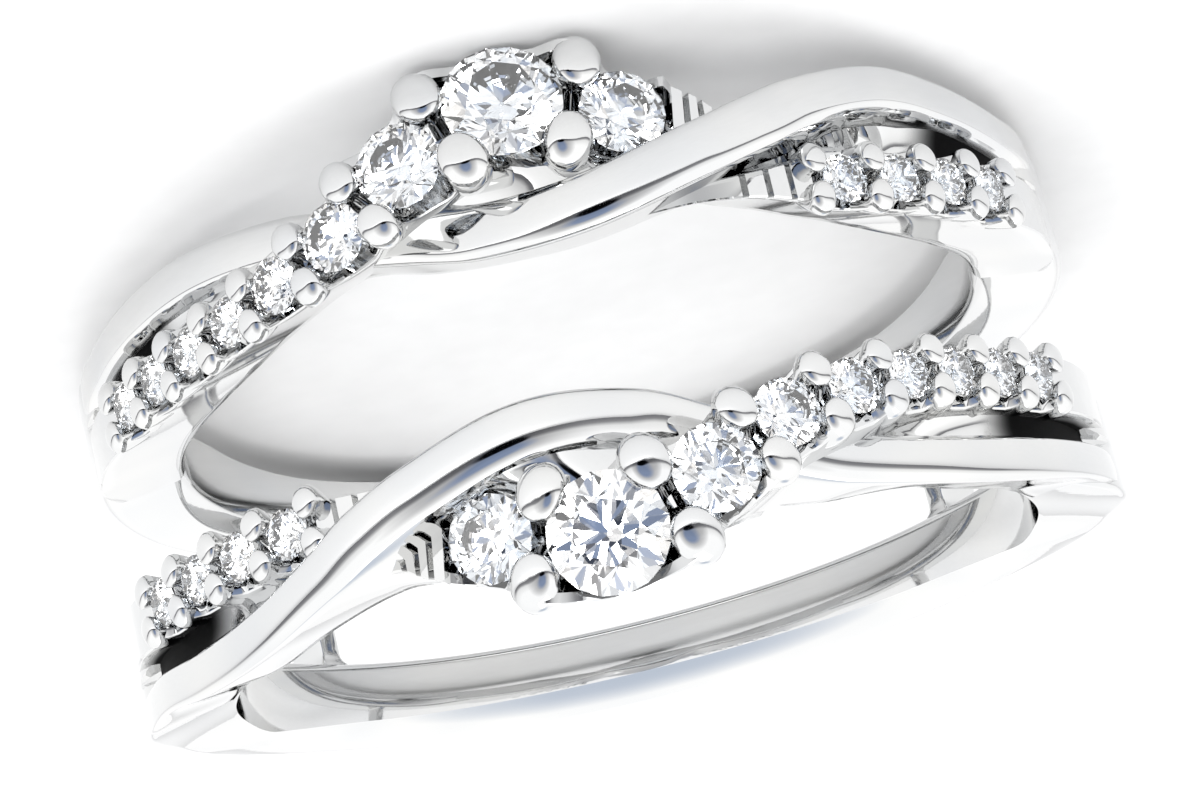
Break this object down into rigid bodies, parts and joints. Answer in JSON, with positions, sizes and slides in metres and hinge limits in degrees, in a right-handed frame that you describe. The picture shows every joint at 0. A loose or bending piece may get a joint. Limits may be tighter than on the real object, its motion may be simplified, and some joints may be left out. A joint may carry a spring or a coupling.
{
  "type": "ring guard enhancer",
  "caption": "Ring guard of paired polished bands, each twisted with a stone-set rail and joined by short bars, so that another ring slides in between.",
  "frame": {"origin": "middle of the finger bore, halfway between the two bands", "axes": "the ring lies on its side: the bore's axis is near +Z and leans towards +Y, the heads with the big stones face -Y, and +X is to the side"},
  "size_m": [0.021, 0.0236, 0.0108],
  "materials": {
    "white_gold": "high polish, rhodium-plated white gold",
    "diamond": "polished brilliant cut"
  },
  "bodies": {
    "root": {"ring_body": "white_gold", "upper_stone_1": "diamond", "upper_stone_2": "diamond", "upper_stone_3": "diamond", "upper_stone_4": "diamond", "upper_stone_5": "diamond", "upper_stone_6": "diamond", "upper_stone_7": "diamond", "upper_stone_8": "diamond", "upper_stone_9": "diamond", "upper_stone_10": "diamond", "upper_stone_11": "diamond", "upper_stone_12": "diamond", "upper_stone_13": "diamond", "lower_stone_1": "diamond", "lower_stone_2": "diamond", "lower_stone_3": "diamond", "lower_stone_4": "diamond", "lower_stone_5": "diamond", "lower_stone_6": "diamond", "lower_stone_7": "diamond", "lower_stone_8": "diamond", "lower_stone_9": "diamond", "lower_stone_10": "diamond", "lower_stone_11": "diamond", "lower_stone_12": "diamond", "lower_stone_13": "diamond"}
  },
  "joints": []
}
